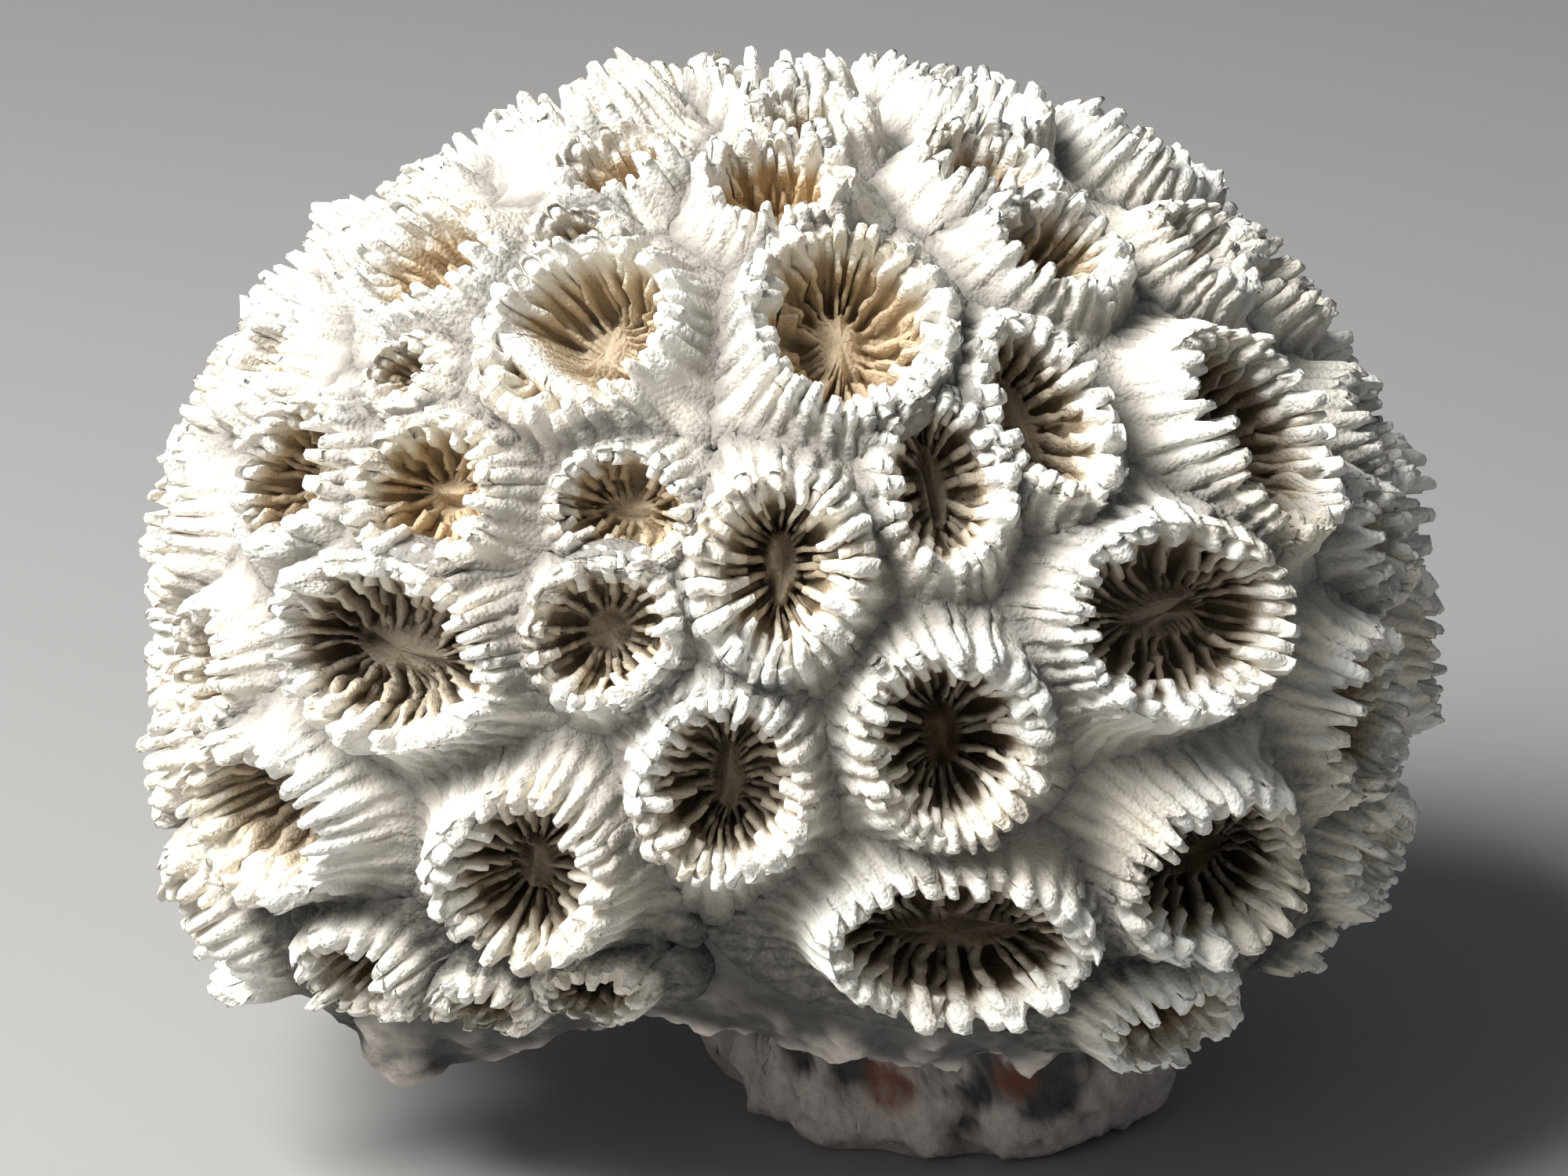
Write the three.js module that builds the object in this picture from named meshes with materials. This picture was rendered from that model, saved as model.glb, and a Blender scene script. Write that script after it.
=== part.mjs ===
// A bleached star coral: one swollen head crowded with raised cups, on a short stub cut off flat.
// Millimetres, +Z up. The middle of the cut is the origin and the best side faces -Y.
import * as THREE from 'three';
import { ConvexHull } from 'three/addons/math/ConvexHull.js';

// The head between its cups: half sizes about the growth centre, from which every cup points away.
const GROWTH_CENTRE = new THREE.Vector3(-4.0, -0.8, 18.3);
const HALF_WIDTH = 18.2;
const HALF_DEPTH = 16.3;
const RISE = 13.4;
const DROP = 13.0;

// Its roundness as powers: in plan, and in section above and below the growth centre, where it is boxier.
const FULLNESS = 2.25;
const FULLNESS_ABOVE = 1.9;
const FULLNESS_BELOW = 4.0;

// The stub: an oval cut, and how far beyond its edge it has run into the underside, further to the right.
const CUT_LONG = 6.4;
const CUT_SHORT = 5.2;
const CUT_TURN = THREE.MathUtils.degToRad(-32);
const CUT_WOBBLE = 0.04;
const STUB_RUNOUT = 0.7;
const STUB_FLARE = 0.6;
const STUB_SIDES = 36;

// Lumps of the bare underside. Swellings of the head: the lobe that hangs at the lower left, the lower left
// edge, a hollow under the front, the flatter upper right and the run down to the stub.
const LUMP_HEIGHT = 0.45;
const SWELLINGS = [
  { longitude: -59, latitude: -46, height: 2.6, radius: 2.4 },
  { longitude: -72, latitude: -31, height: 1.2, radius: 7.0 },
  { longitude: -20, latitude: -42, height: -1.4, radius: 6.0 },
  { longitude: 80, latitude: 22, height: -0.8, radius: 8.0 },
  { longitude: 40, latitude: -42, height: 0.6, radius: 5.0 },
];

// Cups of the best side: longitude and latitude of each in degrees, half width and half height in mm.
const SEEN_CUPS = [
  [-31, 41, 2.8, 3.0],
  [7, 45, 2.8, 3.2],
  [30, 32, 1.8, 2.9],
  [16, 26, 1.8, 2.6],
  [-40, 21, 2.4, 2.2],
  [-19, 23, 2.0, 1.7],
  [-19, 11, 2.1, 2.1],
  [-2, 18, 2.4, 2.9],
  [-40, 6, 3.7, 2.7],
  [37, 10, 3.5, 2.9],
  [14, 1, 2.6, 2.9],
  [-7, -3, 2.4, 2.8],
  [-26, -13, 2.7, 2.8],
  [-54, -12, 3.2, 2.3],
  [40, -14, 3.1, 2.6],
  [15, -19, 3.8, 2.3],
  [56, 24, 2.8, 3.3],
  [49, 50, 2.2, 2.1],
  [59, 64, 2.0, 2.0],
  [-7, 67, 2.1, 2.1],
  [-58, 65, 1.9, 1.9],
  [-65, 42, 2.6, 2.2],
  [-59, 18, 2.1, 2.3],
  [60, -5, 2.3, 2.5],
  [39, -30, 2.3, 1.7],
  [-47, -27, 1.9, 1.7],
  [-22, -28, 1.6, 1.4],
  [-35, -31, 1.5, 1.4],
  [82, 40, 2.2, 1.9],
  [9, 85, 1.9, 1.9],
  [71, 8, 2.0, 2.0],
  [-65, -2, 1.9, 1.9],
  [-80, 24, 2.2, 2.0],
  [67, -20, 2.1, 2.0],
  [-46, 53, 1.3, 1.3],
  [-53, 31, 1.3, 1.2],
];

// Cups of the other sides are set by growth: tried in a spiral down from the top, kept where there is room.
// Grown cups come first, then young ones between them. Both stay off the best side.
const SPIRAL_STEPS = 3000;
const LOWEST_CUP = THREE.MathUtils.degToRad(-34);
const CUP_SPACING = 1.18;
const BROODS = [
  { smallest: 1.9, spread: 0.7, foremost: -0.6 },
  { smallest: 1.2, spread: 0.3, foremost: -0.35 },
];

// A cup in section: rings at shares of its radius, with the height of its teeth and of the gaps between.
const CUP_FLOOR = -1.4;
const TEETH_PER_MM = 3.4;
const RINGS = [
  { share: 0.92, tooth: 1.8, gap: 1.2, pointsPerTooth: 2 },
  { share: 0.66, tooth: 1.1, gap: 0.0, pointsPerTooth: 2 },
  { share: 0.4, tooth: -1.1, gap: -1.1, pointsPerTooth: 0.8 },
  { share: 1.14, tooth: 0.75, gap: 0.75, pointsPerTooth: 1 },
  { share: 1.4, tooth: -0.1, gap: -0.1, pointsPerTooth: 0.8 },
];

// Spacing of the mesh where there are no cups, and the closest that two points may lie.
const OPEN_SPACING = 1.7;
const CLOSEST = 0.4;
const OPEN_STEPS = 4000;

const GOLDEN_ANGLE = Math.PI * (3 - Math.sqrt(5));

/** Unit vector at a longitude from the front, positive to the right, and a latitude, both in radians. */
function direction(longitude, latitude) {
  const level = Math.cos(latitude);
  return new THREE.Vector3(Math.sin(longitude) * level, -Math.cos(longitude) * level, Math.sin(latitude));
}

/** Step of a golden-angle spiral of unit vectors that runs from the top of a sphere to the bottom. */
function spiral(step, steps) {
  const latitude = Math.asin(1 - (2 * step + 1) / steps);
  return direction(step * GOLDEN_ANGLE, latitude);
}

/** A repeatable number from 0 to 1 for a whole number. */
function scatter(number) {
  const value = Math.sin(number * 12.9898 + 4.1) * 43758.5453;
  return value - Math.floor(value);
}

/** Distance from the growth centre to the head between its cups, along a unit vector. */
function headRadius(along) {
  const level = Math.abs(along.x / HALF_WIDTH) ** FULLNESS + Math.abs(along.y / HALF_DEPTH) ** FULLNESS;
  const isAbove = along.z >= 0;
  const power = isAbove ? FULLNESS_ABOVE : FULLNESS_BELOW;
  const upright = Math.abs(along.z) / (isAbove ? RISE : DROP);
  return (level ** (power / FULLNESS) + upright ** power) ** (-1 / power);
}

/** Half width of the cut at an angle round it: an oval with a slow wobble. */
function cutRadius(angle) {
  const turned = angle - CUT_TURN;
  const oval = Math.hypot(Math.cos(turned) / CUT_LONG, Math.sin(turned) / CUT_SHORT);
  const wobble = Math.sin(3 * angle + 1) + Math.sin(5 * angle) + Math.sin(11 * angle);
  return (1 + CUT_WOBBLE * wobble) / oval;
}

/** Height of the underside's rounded lumps and of the swellings, along a unit vector. */
function lumps(along) {
  const small = Math.sin(13 * along.x + 1) * Math.sin(12 * along.y + 2);
  const broad = Math.sin(9 * along.x - 11 * along.y);
  const below = THREE.MathUtils.smoothstep(-along.z, 0.55, 0.75);
  let height = 0.5 * LUMP_HEIGHT * (small + broad) * below;
  for (const swelling of SWELLINGS) {
    const { degToRad } = THREE.MathUtils;
    const middle = direction(degToRad(swelling.longitude), degToRad(swelling.latitude));
    const away = along.distanceTo(middle) * headRadius(middle) / swelling.radius;
    height += swelling.height * Math.exp(-away * away);
  }
  return height;
}

/** Distance from the growth centre to the head or its stub, along a unit vector. */
function bodyRadius(along) {
  const head = headRadius(along) + lumps(along);
  if (along.z > -0.3) {
    return head;
  }
  const toCut = -GROWTH_CENTRE.z / along.z;
  const x = GROWTH_CENTRE.x + along.x * toCut;
  const y = GROWTH_CENTRE.y + along.y * toCut;
  const angle = Math.atan2(y, x);
  const beyond = Math.hypot(x, y) / cutRadius(angle) - 1;
  const runout = THREE.MathUtils.smoothstep(beyond, 0, STUB_RUNOUT * (1 + STUB_FLARE * Math.cos(angle)));
  return THREE.MathUtils.lerp(toCut, head, runout);
}

/** A cup: its axis, the east and north of its rim, and the half sizes of that rim. */
function makeCup(axis, halfWidth, halfHeight) {
  const east = new THREE.Vector3(-axis.y, axis.x, 0).normalize();
  const north = new THREE.Vector3().crossVectors(axis, east);
  return { axis, east, north, halfWidth, halfHeight, depth: headRadius(axis) };
}

/** Direction of a point of a cup, at a share of its radius and an angle round its axis. */
function cupDirection(cup, share, angle) {
  const across = share * cup.halfWidth * Math.cos(angle) / cup.depth;
  const upward = share * cup.halfHeight * Math.sin(angle) / cup.depth;
  return cup.axis.clone().addScaledVector(cup.east, across).addScaledVector(cup.north, upward).normalize();
}

/** Share of a cup's radius at which a direction lies. */
function shareOf(cup, along) {
  const ahead = along.dot(cup.axis);
  if (ahead < 0.3) {
    return Infinity;
  }
  const across = along.dot(cup.east) * cup.depth / ahead / cup.halfWidth;
  const upward = along.dot(cup.north) * cup.depth / ahead / cup.halfHeight;
  return Math.hypot(across, upward);
}

/** Whether a cup of some radius fits between those that are there. */
function hasRoom(cups, axis, radius) {
  const place = axis.clone().multiplyScalar(headRadius(axis));
  return cups.every((cup) => {
    const other = cup.axis.clone().multiplyScalar(cup.depth);
    return place.distanceTo(other) > CUP_SPACING * (radius + (cup.halfWidth + cup.halfHeight) / 2);
  });
}

/** All cups: those of the best side, then those that find room on the other sides. */
function growCups() {
  const cups = SEEN_CUPS.map(([longitude, latitude, halfWidth, halfHeight]) => {
    const axis = direction(THREE.MathUtils.degToRad(longitude), THREE.MathUtils.degToRad(latitude));
    return makeCup(axis, halfWidth, halfHeight);
  });
  for (const brood of BROODS) {
    for (let step = 0; step < SPIRAL_STEPS; step += 1) {
      const axis = spiral(step, SPIRAL_STEPS);
      const radius = brood.smallest + brood.spread * scatter(cups.length);
      const isAllowed = axis.z > Math.sin(LOWEST_CUP) && axis.y > brood.foremost;
      if (isAllowed && hasRoom(cups, axis, radius)) {
        const stretch = 0.9 + 0.2 * scatter(cups.length + 0.5);
        cups.push(makeCup(axis, radius * stretch, radius / stretch));
      }
    }
  }
  return cups;
}

/** Every point of the surface as a unit vector and its distance from the growth centre. */
function surfacePoints(cups) {
  const points = [];
  const add = (along, radius, spacing) => {
    const place = along.clone().multiplyScalar(headRadius(along));
    if (points.every((point) => point.place.distanceTo(place) > spacing)) {
      points.push({ along, radius, place });
    }
  };

  // The flat cut, and the first step up the stub's side.
  const addOverCut = (share, angle) => {
    const reach = share * cutRadius(angle);
    const onCut = new THREE.Vector3(reach * Math.cos(angle), reach * Math.sin(angle), 0);
    const fromCentre = onCut.sub(GROWTH_CENTRE);
    const along = fromCentre.clone().normalize();
    const radius = share > 1 ? bodyRadius(along) : fromCentre.length();
    add(along, radius, CLOSEST / 2);
  };
  addOverCut(0, 0);
  for (const share of [0.6, 1, 1.1, 1.24]) {
    for (let side = 0; side < STUB_SIDES; side += 1) {
      addOverCut(share, (side / STUB_SIDES) * 2 * Math.PI);
    }
  }

  // The cups, ring by ring, each only as far as the middle of the groove to the next cup.
  for (const cup of cups) {
    add(cup.axis, bodyRadius(cup.axis) + CUP_FLOOR, CLOSEST);
  }
  for (const ring of RINGS) {
    for (const cup of cups) {
      const teeth = Math.round(TEETH_PER_MM * (cup.halfWidth + cup.halfHeight) / 2);
      const count = Math.round(teeth * ring.pointsPerTooth);
      for (let index = 0; index < count; index += 1) {
        const along = cupDirection(cup, ring.share, (index / count) * 2 * Math.PI);
        const isOwn = cups.every((other) => other === cup || shareOf(other, along) > ring.share);
        const height = index % 2 === 0 ? ring.tooth : ring.gap;
        if (isOwn) {
          add(along, bodyRadius(along) + height, CLOSEST);
        }
      }
    }
  }

  // The grooves and the underside, wherever no cup reaches.
  for (let step = 0; step < OPEN_STEPS; step += 1) {
    const along = spiral(step, OPEN_STEPS);
    if (cups.every((cup) => shareOf(cup, along) > 1.4)) {
      add(along, bodyRadius(along), OPEN_SPACING);
    }
  }
  return points;
}

/** A closed surface through the points, joined as their unit vectors are joined on the sphere. */
function skinPoints(points) {
  const indexOf = new Map(points.map((point, index) => [point.along, index]));
  const hull = new ConvexHull().setFromPoints(points.map((point) => point.along));
  const corners = [];
  for (const face of hull.faces) {
    const first = face.edge;
    corners.push(indexOf.get(first.tail().point), indexOf.get(first.head().point));
    corners.push(indexOf.get(first.next.head().point));
  }
  const places = points.map(({ along, radius }) => along.clone().multiplyScalar(radius).add(GROWTH_CENTRE));
  const geometry = new THREE.BufferGeometry().setFromPoints(places);
  geometry.setIndex(corners);
  geometry.computeVertexNormals();
  return geometry;
}

const skeleton = new THREE.MeshStandardMaterial({ color: 0xd9d2c4, roughness: 0.9, metalness: 0 });
const coralHead = new THREE.Mesh(skinPoints(surfacePoints(growCups())), skeleton);
coralHead.name = 'coral_head';

const starCoral = new THREE.Group();
starCoral.add(coralHead);
export default starCoral;
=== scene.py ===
import math

import bpy
import numpy as np
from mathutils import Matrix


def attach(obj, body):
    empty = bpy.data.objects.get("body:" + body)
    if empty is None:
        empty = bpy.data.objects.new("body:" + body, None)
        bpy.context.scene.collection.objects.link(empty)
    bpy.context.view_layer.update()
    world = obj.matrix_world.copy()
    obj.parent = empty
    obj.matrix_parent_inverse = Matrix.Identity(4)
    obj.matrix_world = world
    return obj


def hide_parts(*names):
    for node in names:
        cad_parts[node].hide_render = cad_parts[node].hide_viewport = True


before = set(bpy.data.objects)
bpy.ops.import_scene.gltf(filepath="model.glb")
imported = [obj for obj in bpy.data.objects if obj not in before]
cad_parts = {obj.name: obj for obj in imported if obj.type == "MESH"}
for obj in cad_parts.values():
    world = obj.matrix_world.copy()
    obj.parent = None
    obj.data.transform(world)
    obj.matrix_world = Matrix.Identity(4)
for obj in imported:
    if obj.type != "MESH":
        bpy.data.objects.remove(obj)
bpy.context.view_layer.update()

# Head and stub. The colony's limestone body: the ground that its cups stand in, the bare underside, whose
# grey is partly its own and partly painted shade, and the short knobbly stub by which it grew on rock, cut
# off flat there. It grew as one piece from one centre.

# Sizes are in mm about the growth centre, and fullness is a power that gives roundness. A dip is how far a
# unit vector points down: only beyond the cut's dip is the cut met, and the underside's lumps set in between
# two. The swellings of the head have longitude and latitude in degrees, then height and radius.
MM = 0.001
GROWTH_CENTRE = np.array([-4.0, -0.8, 18.3])
HALF_WIDTH = 18.2
HALF_DEPTH = 16.3
RISE = 13.4
DROP = 13.0
FULLNESS = 2.25
FULLNESS_ABOVE = 1.9
FULLNESS_BELOW = 4.0
CUT_LONG = 6.4
CUT_SHORT = 5.2
CUT_TURN = math.radians(-32)
CUT_WOBBLE = 0.04
STUB_RUNOUT = 0.7
STUB_FLARE = 0.6
CUT_DIP = 0.3
FAR_SHARE = 99.0
LUMP_HEIGHT = 0.45
LUMP_DIPS = (0.55, 0.75)
SWELLINGS = [
    (-59, -46, 2.6, 2.4),
    (-72, -31, 1.2, 7.0),
    (-20, -42, -1.4, 6.0),
    (80, 22, -0.8, 8.0),
    (40, -42, 0.6, 5.0),
]


def direction(longitude, latitude):
    """Unit vectors at longitudes from the front, positive to the right, and latitudes, in radians."""
    level = np.cos(latitude)
    parts = np.broadcast_arrays(np.sin(longitude) * level, -np.cos(longitude) * level, np.sin(latitude))
    return np.stack(parts, axis=-1)


def smoothstep(value, low, high):
    """Rises from 0 at low to 1 at high as 3 s squared minus 2 s cubed, and stays there."""
    share = np.clip((value - low) / (high - low), 0, 1)
    return share * share * (3 - 2 * share)


def head_radius(along):
    """Distance to the head along unit vectors: a superellipsoid, boxier below its middle than above."""
    level = np.abs(along[..., 0] / HALF_WIDTH) ** FULLNESS + np.abs(along[..., 1] / HALF_DEPTH) ** FULLNESS
    is_above = along[..., 2] >= 0
    power = np.where(is_above, FULLNESS_ABOVE, FULLNESS_BELOW)
    upright = np.abs(along[..., 2]) / np.where(is_above, RISE, DROP)
    return (level ** (power / FULLNESS) + upright ** power) ** (-1 / power)


def cut_radius(angle):
    """Half width of the cut at an angle round it: an oval with three slow sine waves on it."""
    turned = angle - CUT_TURN
    oval = np.hypot(np.cos(turned) / CUT_LONG, np.sin(turned) / CUT_SHORT)
    wobble = np.sin(3 * angle + 1) + np.sin(5 * angle) + np.sin(11 * angle)
    return (1 + CUT_WOBBLE * wobble) / oval


def lumps(along):
    """Height of the underside's lumps, products of sines below the head, and of the swellings, bells."""
    x, y, z = along[..., 0], along[..., 1], along[..., 2]
    waves = np.sin(13 * x + 1) * np.sin(12 * y + 2) + np.sin(9 * x - 11 * y)
    total = 0.5 * LUMP_HEIGHT * waves * smoothstep(-z, *LUMP_DIPS)
    for longitude, latitude, height, radius in SWELLINGS:
        middle = direction(math.radians(longitude), math.radians(latitude))
        away = np.linalg.norm(along - middle, axis=-1) * head_radius(middle) / radius
        total = total + height * np.exp(-away * away)
    return total


def over_cut(along):
    """Distance along unit vectors to the cut's plane, and the share of its radius and the angle met there."""
    to_cut = GROWTH_CENTRE[2] / np.maximum(-along[..., 2], CUT_DIP)
    x = GROWTH_CENTRE[0] + along[..., 0] * to_cut
    y = GROWTH_CENTRE[1] + along[..., 1] * to_cut
    angle = np.arctan2(y, x)
    share = np.hypot(x, y) / cut_radius(angle)
    return to_cut, np.where(-along[..., 2] > CUT_DIP, share, FAR_SHARE), angle


def body_radius(along):
    """Distance to the head or its stub: the cut's plane over the cut, running out into the head around it."""
    to_cut, share, angle = over_cut(along)
    runout = smoothstep(share, 1, 1 + STUB_RUNOUT * (1 + STUB_FLARE * np.cos(angle)))
    return to_cut + (head_radius(along) + lumps(along) - to_cut) * runout


# Where the polyps sat. For each cup of the best side: longitude and latitude in degrees, half width and half
# height in mm, how stained its pit is, which also lessens the painted shade in it, and how far its blades
# close over the pit.
SEEN_CUPS = [
    (-31, 41, 2.8, 3.0, 0.75, 0.7),
    (7, 45, 2.8, 3.2, 0.9, 0.75),
    (30, 32, 1.8, 2.9, 0.5, 1.0),
    (16, 26, 1.8, 2.6, 0.3, 1.0),
    (-40, 21, 2.4, 2.2, 0.95, 1.0),
    (-19, 23, 2.0, 1.7, 0.8, 0.85),
    (-19, 11, 2.1, 2.1, 0.4, 0.85),
    (-2, 18, 2.4, 2.9, 0.55, 1.5),
    (-40, 6, 3.7, 2.7, 0.25, 0.8),
    (37, 10, 3.5, 2.9, 0.35, 0.75),
    (14, 1, 2.6, 2.9, 0.0, 1.05),
    (-7, -3, 2.4, 2.8, 0.2, 1.0),
    (-26, -13, 2.7, 2.8, 0.3, 1.05),
    (-54, -12, 3.2, 2.3, 0.5, 1.0),
    (40, -14, 3.1, 2.6, 0.0, 0.9),
    (15, -19, 3.8, 2.3, 0.1, 0.8),
    (56, 24, 2.8, 3.3, 0.4, 0.7),
    (49, 50, 2.2, 2.1, 0.7, 0.85),
    (59, 64, 2.0, 2.0, 0.7, 0.85),
    (-7, 67, 2.1, 2.1, 1.3, 0.8),
    (-58, 65, 1.9, 1.9, 0.9, 0.8),
    (-65, 42, 2.6, 2.2, 0.9, 0.75),
    (-59, 18, 2.1, 2.3, 0.7, 0.8),
    (60, -5, 2.3, 2.5, 0.4, 0.8),
    (39, -30, 2.3, 1.7, 0.3, 1.0),
    (-47, -27, 1.9, 1.7, 0.2, 1.0),
    (-22, -28, 1.6, 1.4, 0.2, 1.2),
    (-35, -31, 1.5, 1.4, 0.2, 1.2),
    (82, 40, 2.2, 1.9, 0.7, 1.1),
    (9, 85, 1.9, 1.9, 0.5, 1.1),
    (71, 8, 2.0, 2.0, 0.4, 1.1),
    (-65, -2, 1.9, 1.9, 0.4, 1.1),
    (-80, 24, 2.2, 2.0, 0.5, 1.1),
    (67, -20, 2.1, 2.0, 0.3, 1.1),
    (-46, 53, 1.3, 1.3, 0.5, 1.2),
    (-53, 31, 1.3, 1.2, 0.5, 1.2),
]

# The other cups are tried in a spiral down from the top and kept where there is room: grown ones first, then
# young ones between them, with their least radius, its spread, and how far to the front they may stand.
# Stretch and closing are also a least value and a spread.
SPIRAL_STEPS = 3000
GOLDEN_ANGLE = math.pi * (3 - math.sqrt(5))
LOWEST_CUP = math.sin(math.radians(-34))
CUP_SPACING = 1.18
BROODS = [(1.9, 0.7, -0.6), (1.2, 0.3, -0.35)]
STRETCH = (0.9, 0.2)
CLOSING = (0.95, 0.3)
FACING = 0.3


def scatter(number):
    """A repeatable number from 0 to 1 for a number: the far decimals of a sine."""
    value = math.sin(number * 12.9898 + 4.1) * 43758.5453
    return value - math.floor(value)


def vary(number, least, spread):
    """A repeatable number for a number, from a least value to that value plus a spread."""
    return least + spread * scatter(number)


def grow_cups():
    """Axes, half sizes, stains and closings of the seen cups, then of those that find room on a spiral."""
    axes = [direction(math.radians(cup[0]), math.radians(cup[1])) for cup in SEEN_CUPS]
    halves = [(cup[2], cup[3]) for cup in SEEN_CUPS]
    steps = np.arange(SPIRAL_STEPS)
    spiral = direction(steps * GOLDEN_ANGLE, np.arcsin(1 - (2 * steps + 1) / SPIRAL_STEPS))
    places = spiral * head_radius(spiral)[:, None]
    for smallest, spread, foremost in BROODS:
        for axis, place in zip(spiral, places):
            if axis[2] <= LOWEST_CUP or axis[1] <= foremost:
                continue
            radius = vary(len(axes), smallest, spread)
            grown = np.array(axes)
            gaps = np.linalg.norm(grown * head_radius(grown)[:, None] - place, axis=1)
            if np.all(gaps > CUP_SPACING * (radius + np.mean(halves, axis=1))):
                stretch = vary(len(axes) + 0.5, *STRETCH)
                axes.append(axis)
                halves.append((radius * stretch, radius / stretch))
    unseen = range(len(SEEN_CUPS), len(axes))
    stains = [cup[4] for cup in SEEN_CUPS] + [scatter(number) for number in unseen]
    closings = [cup[5] for cup in SEEN_CUPS] + [vary(number + 0.25, *CLOSING) for number in unseen]
    return np.array(axes), np.array(halves), stains, closings


axes, halves, stains, closings = grow_cups()
depths = head_radius(axes)
easts = np.stack([-axes[:, 1], axes[:, 0], np.zeros(len(axes))], axis=1)
easts /= np.linalg.norm(easts, axis=1, keepdims=True)
norths = np.cross(axes, easts)


def shares_of(along):
    """Share of each cup's radius at which unit vectors lie, cups last, far off where a cup faces away."""
    ahead = along @ axes.T
    scale = depths / np.maximum(ahead, FACING)
    across = (along @ easts.T) * scale / halves[:, 0]
    upward = (along @ norths.T) * scale / halves[:, 1]
    return np.where(ahead > FACING, np.hypot(across, upward), FAR_SHARE)


# The ground's mesh: bands of rows from one latitude to another, and the margin of its flat map. It lies a
# little under open ground and deep under cups, and rises between two shares of a cup's radius.
GROUND_COLUMNS = 300
ROW_BANDS = [(90, -20, 40), (-20, -46, 30), (-46, -88, 90)]
MAP_MARGIN = 0.02
GROUND_DROP = 0.7
PIT_DROP = 3.4
UNDER_CUPS = 1.6
CLEAR_OF_CUPS = 1.9
STUB_EDGE = 1.2

# The underside's roughness: heights and sizes of its grains, the dips between which it sets in, and the
# height over which it runs out at the cut. Then the ring of knobs above the cut.
ROUGHNESS = [(0.45, 2.4), (0.22, 1.0), (0.1, 0.45)]
GRAIN_WAVES = 14
ROUGH_DIPS = (0.5, 0.7)
ROUGH_RUNOUT = 0.7
STUB_KNOBS = 16
KNOB_HEIGHT = 0.9
KNOB_RADIUS = 1.0
KNOB_LEVEL = 1.5
KNOB_REACH = 1.04

# Its tone: hollows are darkened as painted shade, the stub's end and the lumps paler. The red crusts on the
# stub have a place and a radius, and fade between two shares of it.
HOLLOW_SHADE_CONTRAST = 0.9
STUB_PALER = 0.3
STUB_PALER_LEVELS = (1.0, 3.5)
LUMPS_PALER = 0.02
CRUSTS = [(-1.2, -6.3, 2.9, 1.2), (2.7, -7.0, 3.2, 0.9)]
CRUST_FADE = (0.5, 1.1)


def grain(points, size, seed):
    """Rounded noise, about -1 to 1: twice the mean of sine waves of about one length in random directions."""
    draw = np.random.default_rng(seed)
    waves = draw.normal(size=(GRAIN_WAVES, 3))
    waves /= np.linalg.norm(waves, axis=1, keepdims=True)
    waves *= (2 * np.pi / size) * draw.uniform(0.7, 1.4, (GRAIN_WAVES, 1))
    phases = draw.uniform(0, 2 * np.pi, GRAIN_WAVES)
    return np.sin(points @ waves.T + phases).mean(axis=-1) * 2


def outward(points):
    """Unit normals of a grid that is closed along its rows: the cross product of its two differences."""
    along_row = np.roll(points, -1, axis=1) - np.roll(points, 1, axis=1)
    normal = np.cross(np.gradient(points, axis=0), along_row)
    return normal / np.maximum(np.linalg.norm(normal, axis=-1, keepdims=True), 1e-9)


def stub_knobs(points):
    """Height of the knobs round the stub: a bell for each, at its own level and of its own radius."""
    total = 0
    for number in range(STUB_KNOBS):
        angle = 2 * math.pi * number / STUB_KNOBS
        reach = KNOB_REACH * cut_radius(angle)
        level = KNOB_LEVEL * vary(number, 0.7, 0.6)
        radius = KNOB_RADIUS * vary(number + 0.5, 0.8, 0.5)
        middle = np.array([reach * math.cos(angle), reach * math.sin(angle), level])
        away = np.linalg.norm(points - middle, axis=-1) / radius
        total = total + KNOB_HEIGHT * np.exp(-away * away)
    return total


def ground_surface():
    """The head and stub on a grid of longitude and latitude, sunk under each cup, lumpy and knobbly below."""
    longitude = np.linspace(0, 2 * np.pi, GROUND_COLUMNS, endpoint=False)
    bands = [np.radians(np.linspace(high, low, rows, endpoint=False)) for high, low, rows in ROW_BANDS]
    latitude = np.concatenate(bands)[1:]
    along = direction(longitude[None, :], latitude[:, None])
    to_cut, cut_share, _ = over_cut(along)
    near = shares_of(along).min(axis=-1)
    below = smoothstep(-along[..., 2], *ROUGH_DIPS)
    radius = np.minimum(body_radius(along), to_cut)
    sunk = GROUND_DROP + (PIT_DROP - GROUND_DROP) * (1 - smoothstep(near, UNDER_CUPS, CLEAR_OF_CUPS))
    radius = radius - sunk * (cut_share > STUB_EDGE) * (1 - below * (near > UNDER_CUPS))
    points = along * radius[..., None] + GROWTH_CENTRE
    rough = sum(height * grain(points, size, seed) for seed, (height, size) in enumerate(ROUGHNESS, 1))
    rough = (rough + stub_knobs(points)) * below * smoothstep(points[..., 2], 0, ROUGH_RUNOUT)
    points = points + outward(points) * rough[..., None]
    red = np.zeros_like(below)
    for x, y, z, reach in CRUSTS:
        away = np.linalg.norm(points - np.array([x, y, z]), axis=-1) / reach
        red = np.maximum(red, 1 - smoothstep(away, *CRUST_FADE))
    paler = STUB_PALER * (1 - smoothstep(points[..., 2], *STUB_PALER_LEVELS))
    paler = paler + LUMPS_PALER * np.maximum(lumps(along), 0)
    # Painted shade: the mark grows where the roughness sinks in, and shrinks on the knobs, the stub's end and
    # the lumps.
    hollow_shade = np.clip(0.5 - HOLLOW_SHADE_CONTRAST * rough - paler, 0, 1)
    return points, {"hollow_shade": hollow_shade, "red": red}


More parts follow.
